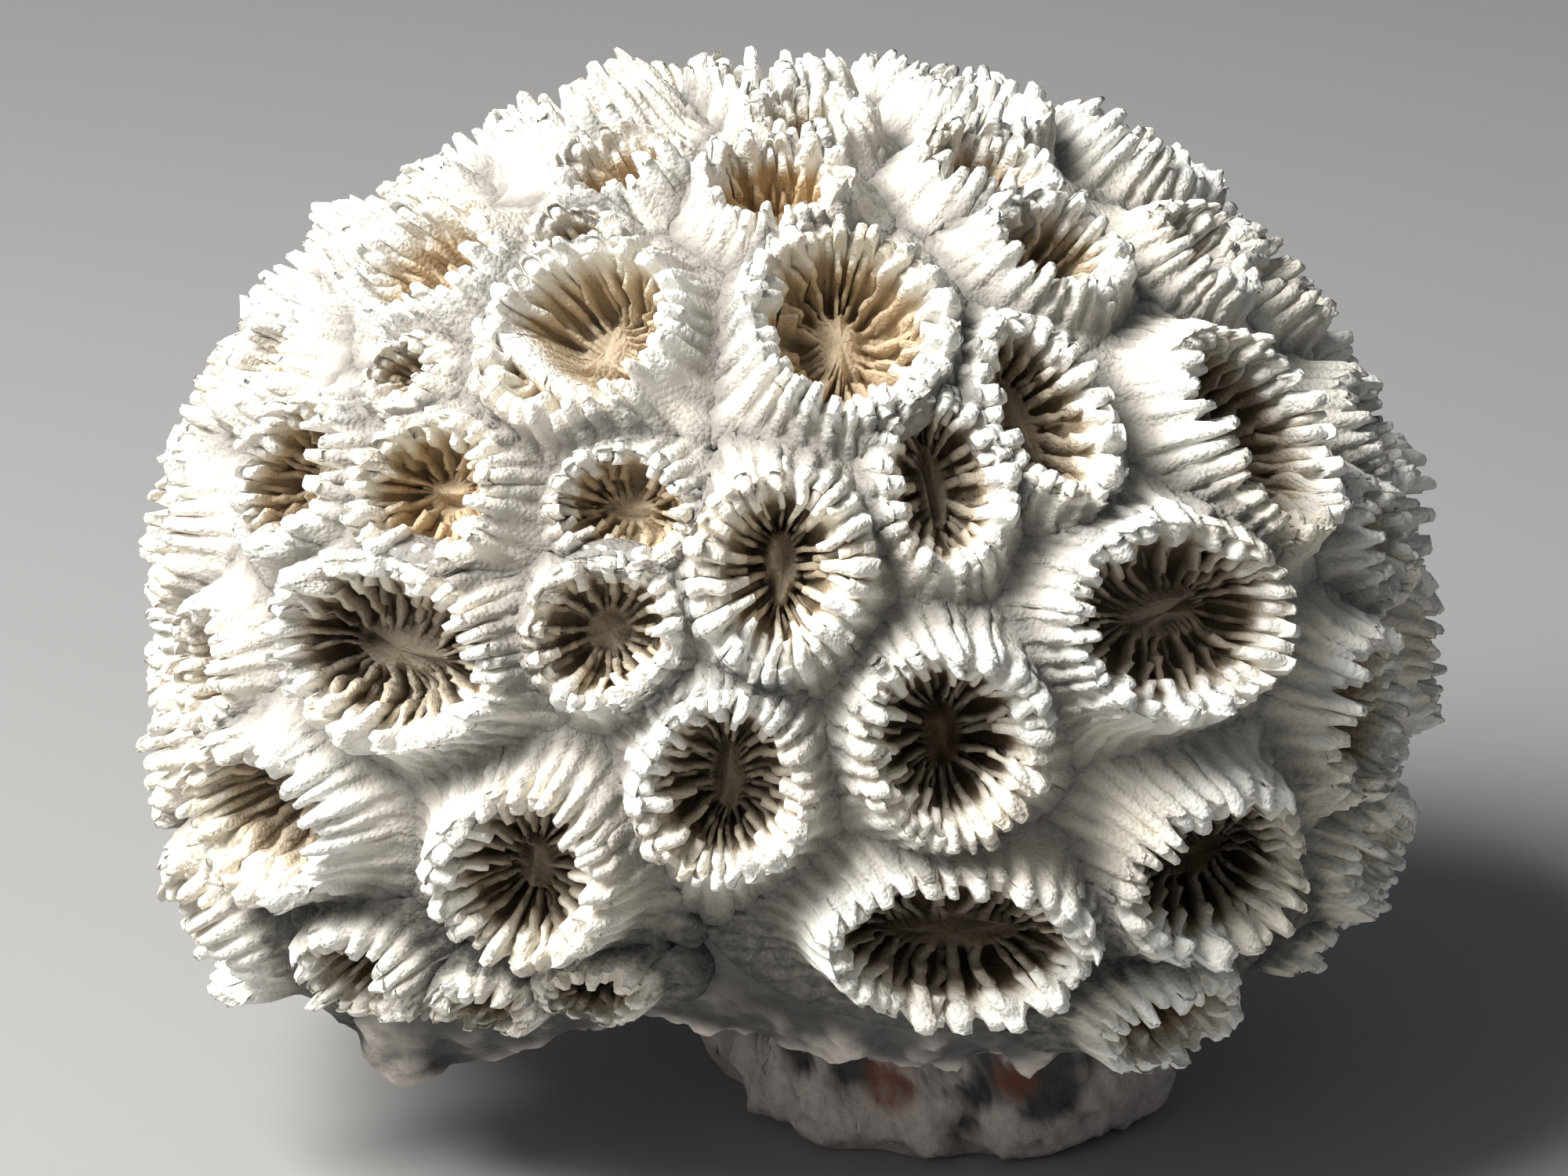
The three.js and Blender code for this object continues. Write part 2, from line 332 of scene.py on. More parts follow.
def close_grid(points, first_pole, last_pole):
    """Points, quads, fans to a pole at each end, and flat map of a grid that is closed along its rows."""
    rows, columns = points.shape[:2]
    grid = np.arange(rows * columns).reshape(rows, columns)
    after = np.roll(grid, -1, axis=1)
    quads = np.stack([grid[:-1], grid[1:], after[1:], after[:-1]], axis=-1).reshape(-1, 4)
    first = np.stack([grid[0], after[0], np.full(columns, rows * columns)], axis=-1)
    last = np.stack([after[-1], grid[-1], np.full(columns, rows * columns + 1)], axis=-1)
    u = np.arange(columns) / columns
    v = 1 - MAP_MARGIN - (1 - 2 * MAP_MARGIN) * np.arange(rows) / (rows - 1)
    step = 1 / columns
    left, high = np.meshgrid(u, v[:-1])
    low = np.meshgrid(u, v[1:])[1]
    ones = np.ones(columns)
    quad_uvs = np.stack([left, high, left, low, left + step, low, left + step, high], axis=-1)
    first_uvs = np.stack([u, v[0] * ones, u + step, v[0] * ones, u + step / 2, ones], axis=-1)
    last_uvs = np.stack([u + step, v[-1] * ones, u, v[-1] * ones, u + step / 2, 0 * ones], axis=-1)
    triangle_uvs = np.concatenate([first_uvs, last_uvs]).reshape(-1, 2)
    all_points = np.concatenate([points.reshape(-1, 3), [first_pole], [last_pole]])
    return all_points, quads, np.concatenate([first, last]), quad_uvs.reshape(-1, 2), triangle_uvs


def with_poles(values):
    """A grid's point values in one row, then those of its two poles, taken from the rows next to them."""
    return np.concatenate([values.ravel(), values[0, :1], values[-1, :1]])


def make_piece(name, points, quads, triangles, corner_uvs, marks):
    """A smooth mesh from points in mm, faces as rows of point numbers, a flat map and named point values."""
    mesh = bpy.data.meshes.new(name)
    corners = np.concatenate([quads.ravel(), triangles.ravel()])
    sizes = np.repeat([4, 3], [len(quads), len(triangles)])
    mesh.vertices.add(len(points))
    mesh.vertices.foreach_set("co", (points * MM).ravel())
    mesh.loops.add(len(corners))
    mesh.loops.foreach_set("vertex_index", corners)
    mesh.polygons.add(len(sizes))
    mesh.polygons.foreach_set("loop_start", np.cumsum(sizes) - sizes)
    mesh.polygons.foreach_set("use_smooth", np.ones(len(sizes), bool))
    mesh.uv_layers.new(name="OFBake").data.foreach_set("uv", corner_uvs.ravel())
    for mark, values in marks.items():
        mesh.attributes.new(mark, "FLOAT", "POINT").data.foreach_set("value", values.ravel())
    mesh.update()
    mesh.validate()
    piece = bpy.data.objects.new(name, mesh)
    bpy.context.scene.collection.objects.link(piece)
    return piece


class Wire:
    """A node's output in shader arithmetic: each operator adds one Math node to the tree."""

    def __init__(self, tree, socket=None):
        self.tree = tree
        self.socket = socket

    def node(self, kind, settings, sockets, output=0):
        """Adds a node, sets its settings, then gives its sockets values or links."""
        made = self.tree.nodes.new(kind)
        for name, value in settings.items():
            setattr(made, name, value)
        for name, value in sockets.items():
            if isinstance(value, Wire):
                self.tree.links.new(value.socket, made.inputs[name])
            else:
                made.inputs[name].default_value = value
        return Wire(self.tree, made.outputs[output])

    def math(self, operation, first, second):
        """One operation on two values."""
        return self.node("ShaderNodeMath", {"operation": operation}, {0: first, 1: second})

    def mix(self, share, first, second):
        """The first colour at a share of 0, the second at 1."""
        return self.node("ShaderNodeMix", {"data_type": "RGBA"}, {0: share, 6: first, 7: second}, 2)

    def mark(self, name):
        """A named point value of the mesh."""
        return self.node("ShaderNodeAttribute", {"attribute_name": name}, {}, "Fac")

    def noise(self, place, size, detail=3.0):
        """Cloudy noise about 0.5, its patches about a size in mm."""
        sockets = {"Vector": place, "Scale": 1 / (size * MM), "Detail": detail, "Roughness": 0.6}
        return self.node("ShaderNodeTexNoise", {}, sockets)

    def step(self, low, high):
        """Rises smoothly from 0 at low to 1 at high."""
        sockets = {"Value": self, "From Min": low, "From Max": high}
        return self.node("ShaderNodeMapRange", {"interpolation_type": "SMOOTHSTEP"}, sockets)

    def __add__(self, other):
        return self.math("ADD", self, other)

    def __sub__(self, other):
        return self.math("SUBTRACT", self, other)

    def __rsub__(self, other):
        return self.math("SUBTRACT", other, self)

    def __mul__(self, other):
        return self.math("MULTIPLY", self, other)

    __radd__ = __add__
    __rmul__ = __mul__


def start_finish(name):
    """A new material, its tree as a Wire, and its shader node."""
    finish = bpy.data.materials.new(name)
    finish.use_nodes = True
    return finish, Wire(finish.node_tree), finish.node_tree.nodes["Principled BSDF"]


def ground_finish():
    """The underside and stub: weathered limestone, grey partly as painted shade, pale knobs, painted shade in
    hollows and two brick-red crusts.
    """
    finish, wire, shader = start_finish("weathered_and_shaded_ground")
    tree = finish.node_tree
    place = wire.node("ShaderNodeTexCoord", {}, {}, "Object")
    hollow_shade = wire.mark("hollow_shade")
    cloud = wire.noise(place, 3.0)
    speck = wire.noise(place, 0.5)
    pale = (0.70, 0.63, 0.58, 1)
    # Grey and dark are partly the underside's own colour and partly painted shade, the head's shadow on it.
    grey = (0.14, 0.135, 0.128, 1)
    dark = (0.055, 0.052, 0.047, 1)
    brick = (0.22, 0.075, 0.05, 1)
    base = wire.mix(cloud.step(0.35, 0.7), grey, dark)
    # The hollow mark's painted shade: pale where it is least, on knobs and the stub's end, dark where it is
    # most.
    base = wire.mix((1 - hollow_shade.step(0.1, 0.55)) * (0.4 + speck), base, pale)
    base = wire.mix(hollow_shade.step(0.5, 0.9) * 0.45, base, dark)
    base = wire.mix(wire.mark("red") * (0.35 + speck), base, brick)
    tree.links.new(base.socket, shader.inputs["Base Color"])
    height = wire.noise(place, 0.3, 4.0)
    bump = wire.node("ShaderNodeBump", {}, {"Strength": 0.7, "Distance": 0.2 * MM, "Height": height})
    tree.links.new(bump.socket, shader.inputs["Normal"])
    shader.inputs["Roughness"].default_value = 0.9
    return finish


ground_grid, ground_marks = ground_surface()
ground_top = ground_grid[0].mean(axis=0)
ground_bottom = ground_grid[-1].mean(axis=0)
*ground_mesh, quad_uvs, triangle_uvs = close_grid(ground_grid, ground_top, ground_bottom)
ground_uvs = np.concatenate([quad_uvs, triangle_uvs])
ground_values = {mark: with_poles(values) for mark, values in ground_marks.items()}
ground = make_piece("head_and_stub", *ground_mesh, ground_uvs, ground_values)
ground.data.materials.append(ground_finish())
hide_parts("coral_head")
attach(ground, "root")

# Cups. Each housed one polyp: a raised ring of upright blades, the septa, that stand proud of its rim as
# plump lobes, run down the pit to a spongy middle, and go on outside as low ribs to the next cup. They are
# the same bleached limestone as the head and grew with it.

# Sections of a cup of standard radius give the share of the radius and the height in mm above open ground.
STANDARD_RADIUS = 2.3
SIZE_RANGE = (0.6, 1.15)
CREST_SHARE = 1.0
FOOT_SHARE = 2.0
WALL_OUTSIDE = [[1.1], [0.66], [0.18], [-0.12], [-0.26], [-0.3], [-0.3], [-0.3], [-0.35]]
RIB_OUTSIDE = [[0.55], [0.36], [0.24], [0.18], [0.14], [0.11], [0.09], [0.08], [0.07]]
GAP_INSIDE = [
    (1.0, 1.0), (0.91, 1.08), (0.82, 0.9), (0.73, 0.4), (0.65, -0.4),
    (0.56, -1.1), (0.42, -1.5), (0.27, -1.4), (0.08, -1.2),
]
LONG_BLADE = [
    (1.0, 1.6), (0.9, 1.85), (0.78, 1.78), (0.67, 1.45), (0.58, 0.6),
    (0.5, -0.1), (0.38, -0.6), (0.27, -1.0), (0.08, -1.1),
]
SHORT_BLADE = [
    (1.0, 1.4), (0.92, 1.55), (0.84, 1.45), (0.76, 1.05), (0.68, 0.2),
    (0.57, -0.9), (0.42, -1.4), (0.27, -1.35), (0.08, -1.15),
]

# Blades, in mm. They stray from an even pitch and have room at their sides, both as shares of it. Their reach
# is 0 for the short section and 1 for the long one. A range, here and below, is one of random draws.
BLADE_PITCH = 0.55
BLADE_STRAY = 0.26
EXTRA_LONG = 0.12
LONG_REACH = (0.45, 1.2)
SHORT_REACH = (-0.15, 0.3)
CLOSING_RANGE = (0.85, 1.2)
LONG_THICKNESS = 0.45
SHORT_THICKNESS = 0.34
THICKNESS_RANGE = (0.6, 1.35)
LONG_ROOM = 0.48
CROWDED_ROOM = 0.42
SHORT_ROOM = 0.38
BEND = 0.13
BEND_IN = (0.2, 0.5)
BEND_OUT = (0.55, 0.8)

# A blade across: its shoulders at a share of its half thickness, and how many of those its shoulders and feet
# lie below its top, within limits that are shares of its height. Down the pit the feet are at its very foot.
SHOULDER_SHARE = 0.72
SHOULDER_DROP = 0.3
SHOULDER_LIMITS = (0, 0.5)
FOOT_DROP = 2.0
FOOT_LIMITS = (0.4, 0.94)
LOW_FOOT = 0.06

# Lobes of a blade's edge by number and swing, the small teeth on them, and the ribs outside the crest.
LOBES = 4.2
LOBES_RANGE = (0.8, 1.2)
LOBE = 0.24
LOBE_RANGE = (0.3, 1.0)
LOBE_LIFT = 0.6
LOBE_SWELL = 0.2
TOOTH = 0.06
TOOTH_LEAN = 0.6
TOOTH_SWELL = 0.15
RIB_TOOTH = 0.15
UNEVEN = 0.22
RIB_SPREAD = 0.36
RIB_RANGE = (0.4, 1.6)
RIB_FADE = 0.2
SHORT_RIB = 0.75

# The rim isn't a true oval or level: two and three waves round it move it in and out, and up and down. The
# pit's middle is a lumpy sponge, and the rest is grainy.
WANDER = (0.04, 0.03)
SWAY = (0.12, 0.1)
SWAY_HEIGHTS = (-1.2, 0.8)
GRANULE = 0.018
GRANULE_LEAN = 0.6
GRANULE_SHARES = (0.1, 0.5)
SPONGE_SHARE = 0.24
SPONGE_EDGE = 0.06
SPONGE_LEVEL = -1.1
SPONGE_LUMP = 0.8
SPONGE_LUMP_SIZE = 0.65

# The upper left cup of the best side is dividing: a ridge crosses its pit, on a line in shares of its size.
DIVIDING_CUP = 0
DIVIDING_LINE = (0.36, 0.93, 0.48)
DIVIDING_TOP = 1.3
DIVIDING_WIDTH = 0.17

# The mesh of a cup: rings outside and inside its crest, columns to a blade, and how it meets the next cup's.
OUTSIDE_RINGS = 9
INSIDE_RINGS = 24
RINGS = OUTSIDE_RINGS + INSIDE_RINGS
BLADE_COLUMNS = 6
GROOVE_ROUNDING = 1.1
OVERLAP = 0.06
OVERLAP_DROP = 0.15
SKIRT = 0.12
SKIRT_DROP = 0.6
ROOT_DEPTH = 5.0
REACH_STEPS = 51
LEAST_REACH = 0.04
LEAST_SHARE = 0.02
LEAST_EDGE = 0.05
PIT_RISE = 0.15
CUP_SEED = 100

# Rings, counted from the skirt up to the crest and down the pit, between which something sets in.
TOOTHED_RINGS = (OUTSIDE_RINGS - 3, OUTSIDE_RINGS + 4)
RUNOUT_RINGS = (RINGS - 8, RINGS - 2)
PLUMP_RINGS = (2, OUTSIDE_RINGS)
THIN_RINGS = (OUTSIDE_RINGS + 5, RINGS - 8)
BLADE_RINGS = (3, OUTSIDE_RINGS)
LOW_FOOT_RINGS = (OUTSIDE_RINGS + 6, OUTSIDE_RINGS + 12)
RIM_RINGS = (OUTSIDE_RINGS - 5, OUTSIDE_RINGS + 1)
GRAINY_RINGS = (OUTSIDE_RINGS - 4, OUTSIDE_RINGS)
LEAN_RINGS = (OUTSIDE_RINGS, OUTSIDE_RINGS + 6)
SLOT_RINGS = (OUTSIDE_RINGS - 1, OUTSIDE_RINGS + 3)

# Where the colours lie: pits and crowns by height, grooves by distance, low flanks by dip and share. The
# crowns' white is partly painted highlight; the pits' and grooves' dark is partly painted shade, the low
# flanks' dark wholly.
PIT_HEIGHTS = (-1.0, 1.3)
CROWN_HEIGHTS = (0.4, 1.4)
GROOVE_WIDTH = 0.46
FLANK_DIPS = (0.2, 0.38)
FLANK_SHARES = (1.08, 1.28)

# Pits of long cups end in slits, and pits of the best side lean to the front, less so towards the crown.
SLIT = 0.8
LEAST_SLIT = 0.12
VIEW_DROP = math.radians(20)
FRONT = direction(0, VIEW_DROP)
LEAN = 0.75
LEAN_LOST = 0.45
CROWN_RISES = (0.25, 0.6)
FRONT_FACINGS = (0.2, 0.7)
LEAN_START = 1.2
is_longer = halves >= halves[:, ::-1]
slits = SLIT * np.maximum(halves - halves[:, ::-1], 0) + LEAST_SLIT * halves * is_longer
to_front = axes @ FRONT
leaning = (LEAN - LEAN_LOST * smoothstep(axes[:, 2], *CROWN_RISES)) * smoothstep(to_front, *FRONT_FACINGS)
lean_across = -leaning * (easts @ FRONT) / (1 - leaning + leaning * to_front)
lean_upward = -leaning * (norths @ FRONT) / (1 - leaning + leaning * to_front)


def cup_direction(cup, share, angle, depth=0.0):
    """Unit vectors at shares of a cup's oval, which closes to a slit, angles round it and depths under it."""
    inner = np.maximum(1 - share, 0)
    across = (share * halves[cup, 0] + inner * slits[cup, 0]) * np.cos(angle) + lean_across[cup] * depth
    upward = (share * halves[cup, 1] + inner * slits[cup, 1]) * np.sin(angle) + lean_upward[cup] * depth
    offset = across[..., None] * easts[cup] + upward[..., None] * norths[cup]
    along = axes[cup] + offset / depths[cup]
    return along / np.linalg.norm(along, axis=-1, keepdims=True)


def through(knots, place):
    """A smooth Catmull-Rom curve through evenly spaced knots, from 0 at the first to 1 at the last."""
    knots = np.asarray(knots, float)
    steps = np.clip(place, 0, 1) * (len(knots) - 1)
    first = np.minimum(steps.astype(int), len(knots) - 2)
    part = (steps - first)[..., None]
    padded = np.concatenate([2 * knots[:1] - knots[1:2], knots, 2 * knots[-1:] - knots[-2:-1]])
    a, b, c, d = (padded[first + shift] for shift in range(4))
    return b + 0.5 * part * (c - a + part * (2 * a - 5 * b + 4 * c - d + part * (3 * (b - c) + d - a)))


def on_wall(knots, share):
    """Value of a curve down a cup's outside, from its crest to its foot, at shares of its radius."""
    return through(knots, (share - CREST_SHARE) / (FOOT_SHARE - CREST_SHARE))[..., 0]


def round_max(first, second, rounding):
    """The larger of two heights, with the corner between them filled over a rounding distance."""
    near = np.maximum(rounding - np.abs(first - second), 0) / rounding
    return np.maximum(first, second) + near * near * rounding / 4


def other_share(cup, along):
    """Smallest share of any other cup's radius at unit vectors."""
    others = shares_of(along)
    others[..., cup] = FAR_SHARE
    return others.min(axis=-1)


def reach_outside(cup, angle):
    """Share of a cup's radius, at angles round it, where its outside meets the next cup's, or its foot."""
    share = np.linspace(CREST_SHARE, FOOT_SHARE, REACH_STEPS)[:, None]
    free = other_share(cup, cup_direction(cup, share, angle[None, :])) > share
    count = np.where(free.all(axis=0), len(share) - 1, np.argmin(free, axis=0))
    return np.maximum(share[count, 0], CREST_SHARE + LEAST_REACH)


def outside_rings(cup, middle, is_long, draw):
    """Shares, wall and rib heights and distances to the groove, from a skirt underground up to the crest."""
    climb = np.linspace(0, 1, OUTSIDE_RINGS)[:-1, None]
    groove = reach_outside(cup, middle)
    limit = groove + OVERLAP
    share = np.concatenate([limit[None] + SKIRT, limit + (CREST_SHARE - limit) * climb])
    nearest = other_share(cup, cup_direction(cup, share, middle[None, :]))
    wall = round_max(on_wall(WALL_OUTSIDE, share), on_wall(WALL_OUTSIDE, nearest), GROOVE_ROUNDING)
    wall = wall - OVERLAP_DROP * smoothstep(share - groove, 0, OVERLAP)
    wall[0] -= SKIRT_DROP
    rib = on_wall(RIB_OUTSIDE, share) * np.where(is_long, 1.0, SHORT_RIB)
    rib = rib * smoothstep(limit - share, 0, RIB_FADE) * draw.uniform(*RIB_RANGE, rib.shape)
    return share, wall, rib, groove - share


def inside_rings(cup, reach, draw):
    """Shares and heights of the gaps' floor and of the blades' edges, from the crest to the pit's middle."""
    down = np.linspace(0, 1, INSIDE_RINGS)
    gap = np.repeat(through(GAP_INSIDE, down)[:, None], len(reach), axis=1)
    short = through(SHORT_BLADE, down)[:, None]
    edge = short + (through(LONG_BLADE, down)[:, None] - short) * reach[None, :, None]
    edge[..., 0] **= closings[cup] * draw.uniform(*CLOSING_RANGE, len(reach))
    gap[..., 0] **= closings[cup]
    return gap[..., 0], gap[..., 1], edge[..., 0], edge[..., 1]


def lobed_edge(ring, radius, floor_share, share, height, draw):
    """Shares and heights of blades' edges with lobes, which are sines down the pit, and teeth on every other
    ring, run out into the pit's floor near its middle. Then the swing of the lobes and that of the teeth."""
    blades = share.shape[1]
    toothed = smoothstep(ring, *TOOTHED_RINGS)
    down = np.maximum(ring - OUTSIDE_RINGS, 0) / INSIDE_RINGS
    turns = LOBES * draw.uniform(*LOBES_RANGE, blades) * down + draw.uniform(0, 1, blades)
    swing = np.sin(2 * np.pi * turns) * draw.uniform(*LOBE_RANGE, blades) * toothed
    tooth = np.where(ring % 2 == 0, 1.0, -1.0) * draw.uniform(0, 1.0, (RINGS, blades))
    tooth = tooth * (RIB_TOOTH + (1 - RIB_TOOTH) * toothed)
    height = height + LOBE_LIFT * LOBE * swing + TOOTH * tooth
    height = height + draw.uniform(-UNEVEN, UNEVEN, blades) * toothed
    share = share - (LOBE * swing + TOOTH_LEAN * TOOTH * tooth * toothed) / radius
    share = share + (floor_share - share) * smoothstep(ring, *RUNOUT_RINGS)
    return share, height, swing, tooth


def half_thickness(ring, is_long, thick, distance, swing, tooth):
    """Half of blades' thickness: plump at the rim, thin below, within their room, and as ribs outside."""
    pitch = 2 * np.pi / len(is_long)
    is_crowded = np.roll(is_long, 1) | np.roll(is_long, -1)
    room = np.where(is_long, np.where(is_crowded, CROWDED_ROOM, LONG_ROOM), SHORT_ROOM) * pitch * distance
    plump = smoothstep(ring, *PLUMP_RINGS) - smoothstep(ring, *THIN_RINGS)
    half = np.minimum(0.25 * thick * (1 + plump) * (1 + LOBE_SWELL * swing + TOOTH_SWELL * tooth), room)
    return half + (RIB_SPREAD * pitch * distance - half) * (1 - smoothstep(ring, *BLADE_RINGS))


def blade_columns(ring, radius, middle, half, distance, floor, edge, draw):
    """Shares, heights and angles of six columns to a blade, and how far each has risen from floor to edge: a
    gap, then a foot, a shoulder, the top, a shoulder and a foot. Blades bend aside about halfway down."""
    floor_share, floor_height = floor
    edge_share, edge_height = edge
    lift = np.maximum(np.hypot((edge_share - floor_share) * radius, edge_height - floor_height), 1e-6)
    shoulder = 1 - np.clip(SHOULDER_DROP * half / lift, *SHOULDER_LIMITS)
    foot = 1 - np.clip(FOOT_DROP * half / lift, *FOOT_LIMITS)
    foot = foot + (LOW_FOOT - foot) * smoothstep(ring, *LOW_FOOT_RINGS)
    risen = np.stack([0 * lift, foot, shoulder, 0 * lift + 1, shoulder, foot], axis=-1)
    share = floor_share[..., None] + (edge_share - floor_share)[..., None] * risen
    height = floor_height[..., None] + (edge_height - floor_height)[..., None] * risen
    inset = SHOULDER_SHARE * half
    aside = np.stack([0 * half, -half, -inset, 0 * half, inset, half], axis=-1)
    bend = smoothstep(1 - edge_share, *BEND_IN) - smoothstep(1 - edge_share, *BEND_OUT)
    bend = bend * draw.uniform(-BEND, BEND, len(middle))
    angle = middle[None, :, None] + aside / distance[..., None] + bend[..., None]
    before = np.roll(middle, 1) - np.where(np.arange(len(middle)) == 0, 2 * np.pi, 0)
    angle[..., 0] = (before + middle) / 2 + (np.roll(half, 1, axis=1) - half) / (2 * distance)
    angle[..., 0] += (np.roll(bend, 1, axis=1) + bend) / 2
    return share, height, angle, risen


def rim_waves(angle, heights, phases):
    """Two waves and three waves round a rim, added, each with its height and phase."""
    return heights[0] * np.sin(2 * angle + phases[0]) + heights[1] * np.sin(3 * angle + phases[1])


def uneven_rim(ring, size, share, height, angle, draw):
    """Shares and heights of a cup of its own size, its rim moved in and out, and up and down, by waves."""
    phases = draw.uniform(0, 2 * np.pi, 4)
    is_inside = smoothstep(ring, *RIM_RINGS)
    sway = rim_waves(angle, SWAY, phases[2:]) * is_inside * smoothstep(height, *SWAY_HEIGHTS)
    share = share * (1 + rim_waves(angle, WANDER, phases[:2]) * is_inside)
    return share, height * (1 + (size - 1) * is_inside) + sway


def dividing_ridge(share, angle):
    """Height of a dividing cup's ridge: a parabola of the distance from the line that it stands on."""
    across, upward, shift = DIVIDING_LINE
    away = share * (across * np.cos(angle) + upward * np.sin(angle)) + shift
    return DIVIDING_TOP - (away / DIVIDING_WIDTH) ** 2


def cup_surface(cup):
    """One cup as rings of points from the pit's middle over the crest to its foot, six columns to a blade."""
    draw = np.random.default_rng(CUP_SEED + cup)
    radius = math.sqrt(halves[cup, 0] * halves[cup, 1])
    size = np.clip(radius / STANDARD_RADIUS, *SIZE_RANGE)
    blades = 2 * round(math.pi * radius / BLADE_PITCH)
    pitch = 2 * np.pi / blades
    middle = (np.arange(blades) + draw.uniform(-BLADE_STRAY, BLADE_STRAY, blades)) * pitch
    is_long = (np.arange(blades) % 2 == 0) | (draw.uniform(0, 1, blades) < EXTRA_LONG)
    reach = np.where(is_long, draw.uniform(*LONG_REACH, blades), draw.uniform(*SHORT_REACH, blades))
    thick = np.where(is_long, LONG_THICKNESS, SHORT_THICKNESS) * draw.uniform(*THICKNESS_RANGE, blades)

    # The floor between the blades and the blades' edges, ring by ring from the skirt to the pit's middle.
    outer_share, wall, rib, to_groove = outside_rings(cup, middle, is_long, draw)
    gap_share, gap_height, blade_share, blade_height = inside_rings(cup, reach, draw)
    ring = np.arange(RINGS)[:, None]
    floor_share = np.concatenate([outer_share, gap_share])
    floor_height = np.concatenate([wall, gap_height])
    edge_share = np.concatenate([outer_share, blade_share])
    edge_height = np.concatenate([wall + rib, blade_height])
    *edge, swing, tooth = lobed_edge(ring, radius, floor_share, edge_share, edge_height, draw)
    distance = np.clip(edge[0], LEAST_EDGE, None) * radius
    half = half_thickness(ring, is_long, thick, distance, swing, tooth)
    floor = floor_share, floor_height
    share, height, angle, risen = blade_columns(ring, radius, middle, half, distance, floor, edge, draw)

    # The uneven rim, the ridge of the dividing cup, the sponge in the pit's middle and the grain of the rest.
    ring = ring[..., None]
    share, height = uneven_rim(ring, size, share, height, angle, draw)
    if cup == DIVIDING_CUP:
        height = np.where(ring > OUTSIDE_RINGS, np.maximum(height, dividing_ridge(share, angle)), height)
    flat = np.stack([share * np.cos(angle), share * np.sin(angle), 0 * share], axis=-1) * radius
    sponge = SPONGE_LEVEL + SPONGE_LUMP * grain(flat, SPONGE_LUMP_SIZE, cup)
    bladed = smoothstep(share, SPONGE_SHARE - SPONGE_EDGE, SPONGE_SHARE + SPONGE_EDGE)
    height = sponge + (height - sponge) * bladed
    granular = GRANULE * (0.7 + 0.3 * smoothstep(ring, *GRAINY_RINGS))
    granular = granular * smoothstep(share, *GRANULE_SHARES)
    height = height + granular * draw.normal(size=height.shape)
    share = share + GRANULE_LEAN * granular / radius * draw.normal(size=height.shape)

    depth = np.maximum(LEAN_START - height, 0) * smoothstep(ring, *LEAN_RINGS)
    along = cup_direction(cup, np.maximum(share, LEAST_SHARE), angle, depth)
    points = along * (body_radius(along) + height)[..., None] + GROWTH_CENTRE
    groove = np.ones((RINGS, blades))
    groove[:OUTSIDE_RINGS] = to_groove
    # Near the crease where cups meet: partly their own grey-lilac tint, partly painted shade in the crease.
    groove_tint_and_shade = 1 - smoothstep(groove, 0, GROOVE_WIDTH)
    marks = {
        "pit": (1 - smoothstep(height / size, *PIT_HEIGHTS)) * (ring > OUTSIDE_RINGS),
        "groove": np.repeat(groove_tint_and_shade[..., None], BLADE_COLUMNS, axis=-1),
        # Painted shade on the low flanks of cups on the lower part of the head.
        "low_flank_shade": smoothstep(-along[..., 2], *FLANK_DIPS) * smoothstep(share, *FLANK_SHARES),
        "edge": risen * bladed,
        "crown": smoothstep(height, *CROWN_HEIGHTS),
        "slot_stain_and_shade": (1 - risen) * bladed * smoothstep(ring, *SLOT_RINGS),
        "ochre": np.full_like(height, stains[cup]),
    }
    columns = blades * BLADE_COLUMNS
    flat_marks = {mark: values.reshape(RINGS, columns)[::-1] for mark, values in marks.items()}
    return points.reshape(RINGS, columns, 3)[::-1], flat_marks


def join_cups(name, members):
    """One piece from several cups, each closed at its pit's middle and at a root inside the head."""
    across = math.ceil(math.sqrt(len(members)))
    points, quads, triangles, quad_uvs, triangle_uvs, marks = [], [], [], [], [], []
    count = 0
    for place, cup in enumerate(members):
        rings, values = cup_surface(cup)
        root = axes[cup] * (depths[cup] - ROOT_DEPTH) + GROWTH_CENTRE
        pit_middle = rings[0].mean(axis=0) + PIT_RISE * axes[cup]
        cup_points, cup_quads, cup_triangles, *cup_uvs = close_grid(rings, pit_middle, root)
        corner = np.array([place % across, place // across]) + MAP_MARGIN
        tiled_uvs = [(corner + (1 - 2 * MAP_MARGIN) * uvs) / across for uvs in cup_uvs]
        points.append(cup_points)
        quads.append(cup_quads + count)
        triangles.append(cup_triangles + count)
        quad_uvs.append(tiled_uvs[0])
        triangle_uvs.append(tiled_uvs[1])
        marks.append({mark: with_poles(value) for mark, value in values.items()})
        count += len(cup_points)
    joined = {mark: np.concatenate([values[mark] for values in marks]) for mark in marks[0]}
    faces = np.concatenate(quads), np.concatenate(triangles)
    return make_piece(name, np.concatenate(points), *faces, np.concatenate(quad_uvs + triangle_uvs), joined)


